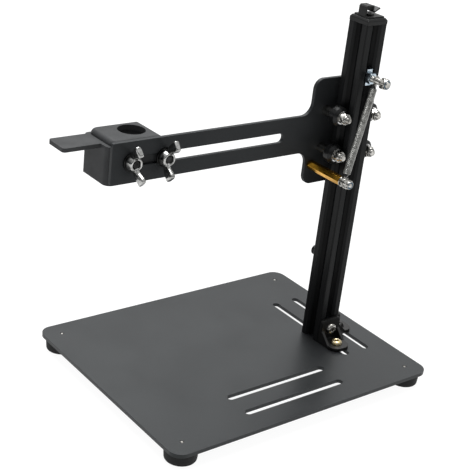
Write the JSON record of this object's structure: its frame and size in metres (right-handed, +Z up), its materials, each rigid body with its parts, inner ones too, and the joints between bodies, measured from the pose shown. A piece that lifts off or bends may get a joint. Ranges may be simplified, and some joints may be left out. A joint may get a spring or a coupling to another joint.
{
  "type": "spring-return tool press stand",
  "caption": "Bench stand with slotted base, column, spring-held roller carriage and an arm that lowers a clamped round tool straight down.",
  "frame": {"origin": "on the table under the middle of the whole stand's bounding box", "axes": "+Z up, +X from the tool holder towards the column, -Y is the side with the spring and wing nuts"},
  "size_m": [0.2788, 0.194, 0.2901],
  "materials": {
    "black_satin_sheet": "satin black powder coat",
    "black_anodised": "black anodised",
    "black_plastic": "moulded, fine matt texture",
    "black_rubber": "moulded",
    "black_cast": "die-cast, black coated",
    "black_steel": "black oxide",
    "zinc": "bright zinc plate",
    "spring_steel": "drawn wire",
    "wheel_plastic": "turned acetal",
    "brass": "drawn bar",
    "bearing_steel": "ground"
  },
  "bodies": {
    "stand": {"anchor_end_nut": "zinc", "anchor_nut": "zinc", "anchor_stud": "zinc", "anchor_tee_nut": "zinc", "base_plate": "black_satin_sheet", "bracket_base_nuts": "zinc", "bracket_base_screws": "zinc", "bracket_column_screws": "zinc", "bracket_tee_nuts": "zinc", "cable_hook": "black_plastic", "cable_hook_screw": "black_steel", "column": "black_anodised", "column_end_cap": "black_plastic", "foot_front_left": "black_rubber", "foot_front_right": "black_rubber", "foot_rear_left": "black_rubber", "foot_rear_right": "black_rubber", "foot_screws": "zinc", "front_bracket": "black_cast", "return_spring": "spring_steel", "side_bracket": "black_cast", "stop_nut": "black_steel", "stop_screw": "black_steel", "stop_tee_nut": "black_steel"},
    "carriage": {"arm_plate": "black_satin_sheet", "bearing_inner_rings": "bearing_steel", "bearing_balls": "bearing_steel", "bearing_shims": "bearing_steel", "wheel_bolts": "zinc", "wheel_spacers": "zinc", "eccentric_spacers": "zinc", "wheel_washers": "zinc", "wheel_nuts": "zinc", "spring_post": "brass", "spring_post_screw": "zinc", "spring_post_stud": "zinc", "spring_post_washers": "zinc", "spring_post_nut": "zinc"},
    "wheel_upper_left": {"wheel_upper_left": "wheel_plastic", "bearing_outer_rings_upper_left": "bearing_steel"},
    "wheel_lower_left": {"wheel_lower_left": "wheel_plastic", "bearing_outer_rings_lower_left": "bearing_steel"},
    "wheel_upper_right": {"wheel_upper_right": "wheel_plastic", "bearing_outer_rings_upper_right": "bearing_steel"},
    "wheel_lower_right": {"wheel_lower_right": "wheel_plastic", "bearing_outer_rings_lower_right": "bearing_steel"},
    "holder": {"tool_holder": "black_plastic", "holder_studs": "zinc", "clamp_washers": "black_steel"},
    "wing_left": {"wing_nut_left": "zinc"},
    "wing_right": {"wing_nut_right": "zinc"},
    "clamp_screw": {"tool_clamp_screw": "black_plastic"}
  },
  "joints": [
    {"name": "carriage_slide", "type": "slide", "parent": "stand", "child": "carriage", "axis": [0, 0, -1], "range_m": [0, 0.0585], "stiffness_N_per_m": 55, "springref_m": -0.12, "deforming": ["return_spring"]},
    {"name": "wheel_upper_left_spin", "type": "hinge", "parent": "carriage", "child": "wheel_upper_left", "pos_m": [0.0801, -0.011, 0.2055], "axis": [0, 1, 0], "range_deg": [-540, 0]},
    {"name": "wheel_lower_left_spin", "type": "hinge", "parent": "carriage", "child": "wheel_lower_left", "pos_m": [0.0801, -0.011, 0.1755], "axis": [0, 1, 0], "range_deg": [-540, 0]},
    {"name": "wheel_upper_right_spin", "type": "hinge", "parent": "carriage", "child": "wheel_upper_right", "pos_m": [0.1111, -0.011, 0.2055], "axis": [0, 1, 0], "range_deg": [0, 540]},
    {"name": "wheel_lower_right_spin", "type": "hinge", "parent": "carriage", "child": "wheel_lower_right", "pos_m": [0.1111, -0.011, 0.1755], "axis": [0, 1, 0], "range_deg": [0, 540]},
    {"name": "holder_slide", "type": "slide", "parent": "carriage", "child": "holder", "axis": [1, 0, 0], "range_m": [0, 0.103]},
    {"name": "wing_left_turn", "type": "hinge", "parent": "holder", "child": "wing_left", "pos_m": [-0.0934, -0.001, 0.188], "axis": [0, -1, 0], "range_deg": [0, 360]},
    {"name": "wing_right_turn", "type": "hinge", "parent": "holder", "child": "wing_right", "pos_m": [-0.0664, -0.001, 0.188], "axis": [0, -1, 0], "range_deg": [0, 360]},
    {"name": "clamp_screw_turn", "type": "hinge", "parent": "holder", "child": "clamp_screw", "pos_m": [-0.0665, 0.0238, 0.187], "axis": [1, 0, 0], "range_deg": [0, 720]}
  ],
  "couplings": [
    {"joint": "wheel_upper_left_spin", "follows": "carriage_slide", "rad_per_m": -156.25},
    {"joint": "wheel_lower_left_spin", "follows": "carriage_slide", "rad_per_m": -156.25},
    {"joint": "wheel_upper_right_spin", "follows": "carriage_slide", "rad_per_m": 156.25},
    {"joint": "wheel_lower_right_spin", "follows": "carriage_slide", "rad_per_m": 156.25}
  ]
}
